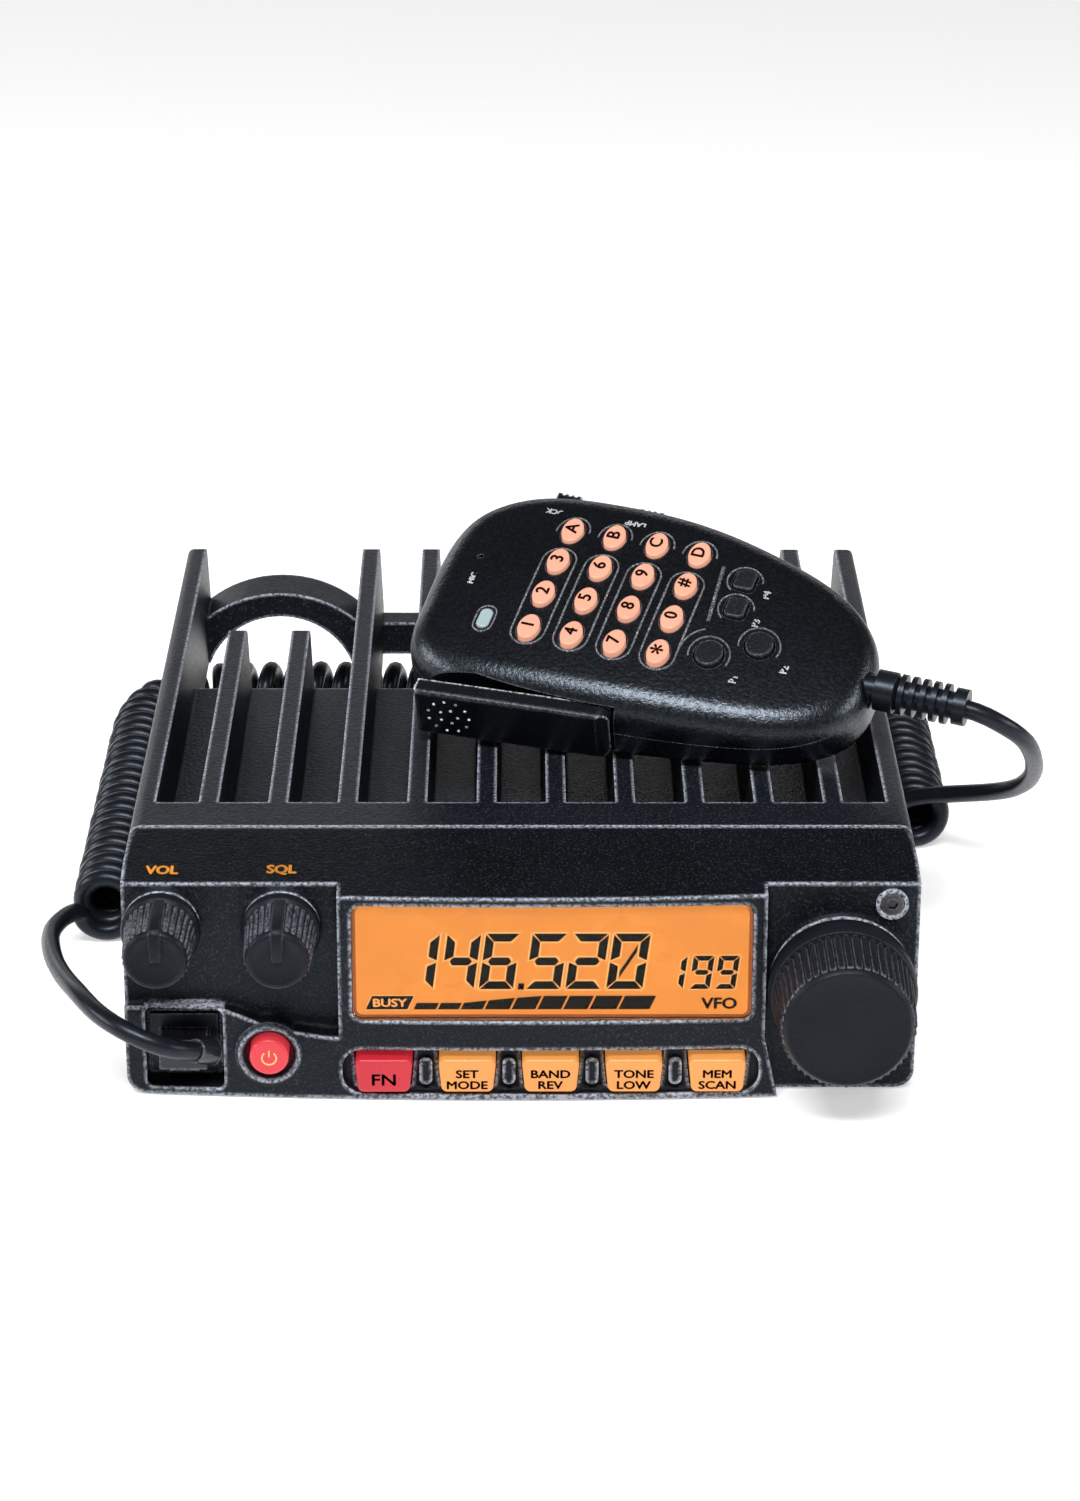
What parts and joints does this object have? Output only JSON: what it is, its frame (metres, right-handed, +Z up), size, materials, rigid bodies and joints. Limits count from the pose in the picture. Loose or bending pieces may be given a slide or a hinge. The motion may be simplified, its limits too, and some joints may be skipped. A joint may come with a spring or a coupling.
{
  "type": "mobile transceiver",
  "caption": "Low boxy mobile radio set with finned top, lit display, keys, knobs and tuning dial, and a corded keypad hand microphone lying on it.",
  "frame": {"origin": "middle of the footprint of the set, on the surface it stands on", "axes": "+X to the right seen from the front, +Y to the back, +Z up"},
  "size_m": [0.2167, 0.2238, 0.0905],
  "materials": {
    "die_cast": "fine textured powder coat",
    "panel_plastic": "fine textured moulding",
    "cover_steel": "satin black paint",
    "screw_steel": "black oxide",
    "window_clear": "clear polished plate",
    "lcd_amber": "amber lit glass",
    "board_green": "solder mask",
    "component_black": "moulded",
    "socket_black": "moulded",
    "knob_plastic": "fine matte moulding",
    "key_amber": "satin translucent",
    "key_red": "satin translucent",
    "power_red": "satin translucent",
    "nickel": "nickel plate",
    "speaker_black": "pressed basket and cone",
    "handset_plastic": "fine textured moulding",
    "lever_plastic": "satin moulding",
    "keypad_salmon": "silicone rubber",
    "program_dark": "silicone rubber",
    "lens_pale": "translucent",
    "capsule_metal": "drawn",
    "cord_rubber": "satin jacket",
    "plug_plastic": "smoky moulding"
  },
  "bodies": {
    "set_and_handset": {"heatsink_chassis": "die_cast", "bottom_cover": "cover_steel", "case_screws": "screw_steel", "front_panel": "panel_plastic", "display_window": "window_clear", "lcd_panel": "lcd_amber", "display_board": "board_green", "panel_controls": "component_black", "panel_screw": "screw_steel", "mic_socket": "socket_black", "antenna_socket": "nickel", "flange_screws": "screw_steel", "power_inlet": "socket_black", "main_board": "board_green", "power_module": "component_black", "loudspeaker": "speaker_black", "handset_front_shell": "handset_plastic", "handset_rear_shell": "handset_plastic", "indicator_lens": "lens_pale", "hanger_stud": "lever_plastic", "handset_board": "board_green", "mic_capsule": "capsule_metal", "shell_screws": "screw_steel", "strain_relief": "cord_rubber", "cord_plug": "plug_plastic", "cord_lead_radio": "cord_rubber", "cord_coil": "cord_rubber", "cord_lead_handset": "cord_rubber"},
    "volume_knob": {"volume_knob": "knob_plastic"},
    "squelch_knob": {"squelch_knob": "knob_plastic"},
    "main_dial": {"main_dial": "knob_plastic"},
    "power_button": {"power_button": "power_red"},
    "function_key_1": {"function_key_1": "key_red"},
    "function_key_2": {"function_key_2": "key_amber"},
    "function_key_3": {"function_key_3": "key_amber"},
    "function_key_4": {"function_key_4": "key_amber"},
    "function_key_5": {"function_key_5": "key_amber"},
    "key_a": {"key_a": "keypad_salmon"},
    "key_b": {"key_b": "keypad_salmon"},
    "key_c": {"key_c": "keypad_salmon"},
    "key_d": {"key_d": "keypad_salmon"},
    "key_3": {"key_3": "keypad_salmon"},
    "key_6": {"key_6": "keypad_salmon"},
    "key_9": {"key_9": "keypad_salmon"},
    "key_hash": {"key_hash": "keypad_salmon"},
    "key_2": {"key_2": "keypad_salmon"},
    "key_5": {"key_5": "keypad_salmon"},
    "key_8": {"key_8": "keypad_salmon"},
    "key_0": {"key_0": "keypad_salmon"},
    "key_1": {"key_1": "keypad_salmon"},
    "key_4": {"key_4": "keypad_salmon"},
    "key_7": {"key_7": "keypad_salmon"},
    "key_star": {"key_star": "keypad_salmon"},
    "program_key_1": {"program_key_1": "program_dark"},
    "program_key_2": {"program_key_2": "program_dark"},
    "program_key_3": {"program_key_3": "program_dark"},
    "program_key_4": {"program_key_4": "program_dark"},
    "ptt_lever": {"ptt_lever": "lever_plastic"},
    "lock_switch": {"lock_switch": "lever_plastic"},
    "lamp_switch": {"lamp_switch": "lever_plastic"}
  },
  "joints": [
    {"name": "volume_turn", "type": "hinge", "parent": "set_and_handset", "child": "volume_knob", "pos_m": [-0.0721, -0.0819, 0.0374], "axis": [0, 1, 0], "range_deg": [-150, 150]},
    {"name": "squelch_turn", "type": "hinge", "parent": "set_and_handset", "child": "squelch_knob", "pos_m": [-0.0481, -0.0819, 0.0374], "axis": [0, 1, 0], "range_deg": [-150, 150]},
    {"name": "dial_turn", "type": "hinge", "parent": "set_and_handset", "child": "main_dial", "pos_m": [0.0646, -0.0819, 0.0248], "axis": [0, 1, 0], "continuous": true},
    {"name": "power_press", "type": "slide", "parent": "set_and_handset", "child": "power_button", "axis": [0, 1, 0], "range_m": [0, 0.0008], "stiffness_N_per_m": 400},
    {"name": "function_1_press", "type": "slide", "parent": "set_and_handset", "child": "function_key_1", "axis": [0, 1, 0], "range_m": [0, 0.0008], "stiffness_N_per_m": 400},
    {"name": "function_2_press", "type": "slide", "parent": "set_and_handset", "child": "function_key_2", "axis": [0, 1, 0], "range_m": [0, 0.0008], "stiffness_N_per_m": 400},
    {"name": "function_3_press", "type": "slide", "parent": "set_and_handset", "child": "function_key_3", "axis": [0, 1, 0], "range_m": [0, 0.0008], "stiffness_N_per_m": 400},
    {"name": "function_4_press", "type": "slide", "parent": "set_and_handset", "child": "function_key_4", "axis": [0, 1, 0], "range_m": [0, 0.0008], "stiffness_N_per_m": 400},
    {"name": "function_5_press", "type": "slide", "parent": "set_and_handset", "child": "function_key_5", "axis": [0, 1, 0], "range_m": [0, 0.0008], "stiffness_N_per_m": 400},
    {"name": "key_a_press", "type": "slide", "parent": "set_and_handset", "child": "key_a", "axis": [0.0674, 0.432, -0.8994], "range_m": [0, 0.0007], "stiffness_N_per_m": 300},
    {"name": "key_b_press", "type": "slide", "parent": "set_and_handset", "child": "key_b", "axis": [0.0674, 0.432, -0.8994], "range_m": [0, 0.0007], "stiffness_N_per_m": 300},
    {"name": "key_c_press", "type": "slide", "parent": "set_and_handset", "child": "key_c", "axis": [0.0674, 0.432, -0.8994], "range_m": [0, 0.0007], "stiffness_N_per_m": 300},
    {"name": "key_d_press", "type": "slide", "parent": "set_and_handset", "child": "key_d", "axis": [0.0674, 0.432, -0.8994], "range_m": [0, 0.0007], "stiffness_N_per_m": 300},
    {"name": "key_3_press", "type": "slide", "parent": "set_and_handset", "child": "key_3", "axis": [0.0674, 0.432, -0.8994], "range_m": [0, 0.0007], "stiffness_N_per_m": 300},
    {"name": "key_6_press", "type": "slide", "parent": "set_and_handset", "child": "key_6", "axis": [0.0674, 0.432, -0.8994], "range_m": [0, 0.0007], "stiffness_N_per_m": 300},
    {"name": "key_9_press", "type": "slide", "parent": "set_and_handset", "child": "key_9", "axis": [0.0674, 0.432, -0.8994], "range_m": [0, 0.0007], "stiffness_N_per_m": 300},
    {"name": "key_hash_press", "type": "slide", "parent": "set_and_handset", "child": "key_hash", "axis": [0.0674, 0.432, -0.8994], "range_m": [0, 0.0007], "stiffness_N_per_m": 300},
    {"name": "key_2_press", "type": "slide", "parent": "set_and_handset", "child": "key_2", "axis": [0.0674, 0.432, -0.8994], "range_m": [0, 0.0007], "stiffness_N_per_m": 300},
    {"name": "key_5_press", "type": "slide", "parent": "set_and_handset", "child": "key_5", "axis": [0.0674, 0.432, -0.8994], "range_m": [0, 0.0007], "stiffness_N_per_m": 300},
    {"name": "key_8_press", "type": "slide", "parent": "set_and_handset", "child": "key_8", "axis": [0.0674, 0.432, -0.8994], "range_m": [0, 0.0007], "stiffness_N_per_m": 300},
    {"name": "key_0_press", "type": "slide", "parent": "set_and_handset", "child": "key_0", "axis": [0.0674, 0.432, -0.8994], "range_m": [0, 0.0007], "stiffness_N_per_m": 300},
    {"name": "key_1_press", "type": "slide", "parent": "set_and_handset", "child": "key_1", "axis": [0.0674, 0.432, -0.8994], "range_m": [0, 0.0007], "stiffness_N_per_m": 300},
    {"name": "key_4_press", "type": "slide", "parent": "set_and_handset", "child": "key_4", "axis": [0.0674, 0.432, -0.8994], "range_m": [0, 0.0007], "stiffness_N_per_m": 300},
    {"name": "key_7_press", "type": "slide", "parent": "set_and_handset", "child": "key_7", "axis": [0.0674, 0.432, -0.8994], "range_m": [0, 0.0007], "stiffness_N_per_m": 300},
    {"name": "key_star_press", "type": "slide", "parent": "set_and_handset", "child": "key_star", "axis": [0.0674, 0.432, -0.8994], "range_m": [0, 0.0007], "stiffness_N_per_m": 300},
    {"name": "program_key_1_press", "type": "slide", "parent": "set_and_handset", "child": "program_key_1", "axis": [0.0674, 0.432, -0.8994], "range_m": [0, 0.0007], "stiffness_N_per_m": 300},
    {"name": "program_key_2_press", "type": "slide", "parent": "set_and_handset", "child": "program_key_2", "axis": [0.0674, 0.432, -0.8994], "range_m": [0, 0.0007], "stiffness_N_per_m": 300},
    {"name": "program_key_3_press", "type": "slide", "parent": "set_and_handset", "child": "program_key_3", "axis": [0.0674, 0.432, -0.8994], "range_m": [0, 0.0007], "stiffness_N_per_m": 300},
    {"name": "program_key_4_press", "type": "slide", "parent": "set_and_handset", "child": "program_key_4", "axis": [0.0674, 0.432, -0.8994], "range_m": [0, 0.0007], "stiffness_N_per_m": 300},
    {"name": "talk_press", "type": "hinge", "parent": "set_and_handset", "child": "ptt_lever", "pos_m": [0.01676, -0.02778, 0.05783], "axis": [-0.0674, -0.432, 0.8994], "range_deg": [-5, 0], "stiffness_Nm_per_rad": 0.3},
    {"name": "lock_slide", "type": "slide", "parent": "set_and_handset", "child": "lock_switch", "axis": [0.9427, -0.3228, -0.0844], "range_m": [0, 0.003]},
    {"name": "lamp_slide", "type": "slide", "parent": "set_and_handset", "child": "lamp_switch", "axis": [0.9427, -0.3228, -0.0844], "range_m": [0, 0.003]}
  ]
}
